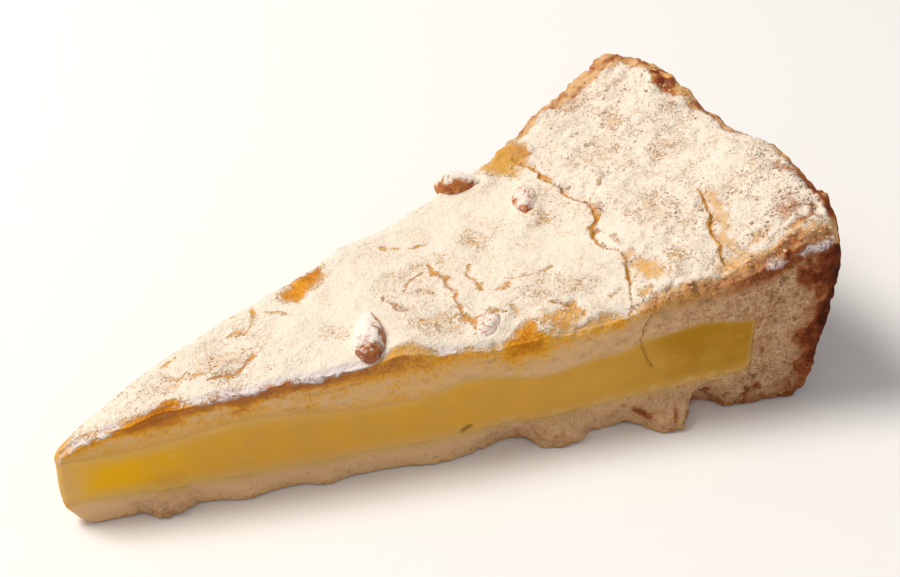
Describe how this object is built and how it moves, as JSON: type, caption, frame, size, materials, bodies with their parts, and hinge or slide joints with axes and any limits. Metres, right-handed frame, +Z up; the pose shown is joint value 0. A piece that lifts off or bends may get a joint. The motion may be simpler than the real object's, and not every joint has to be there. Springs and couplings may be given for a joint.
{
  "type": "lemon tart slice",
  "caption": "Wedge of double-crust lemon tart: shortcrust case, set lemon custard, cracked lid under icing sugar, pine nuts.",
  "frame": {"origin": "middle of the bounding box on the plane the slice rests on", "axes": "+X from the tip to the rim of the slice, +Z up, +Y across the slice"},
  "size_m": [0.1306, 0.0679, 0.038],
  "materials": {
    "crust": "baked shortcrust: pale crumb at the cuts, browned at the wall and foot",
    "custard": "set lemon custard, smooth, moist and slightly translucent",
    "sugared_crust": "golden shortcrust under a dry dusting of icing sugar",
    "pine_nut": "toasted pine nut, dusted with icing sugar on top"
  },
  "bodies": {
    "root": {"shortcrust_case": "crust", "lemon_custard": "custard", "shortcrust_lid": "sugared_crust", "pine_nut_front": "pine_nut", "pine_nut_edge": "pine_nut", "pine_nut_back": "pine_nut", "pine_nut_buried": "pine_nut"}
  },
  "joints": []
}
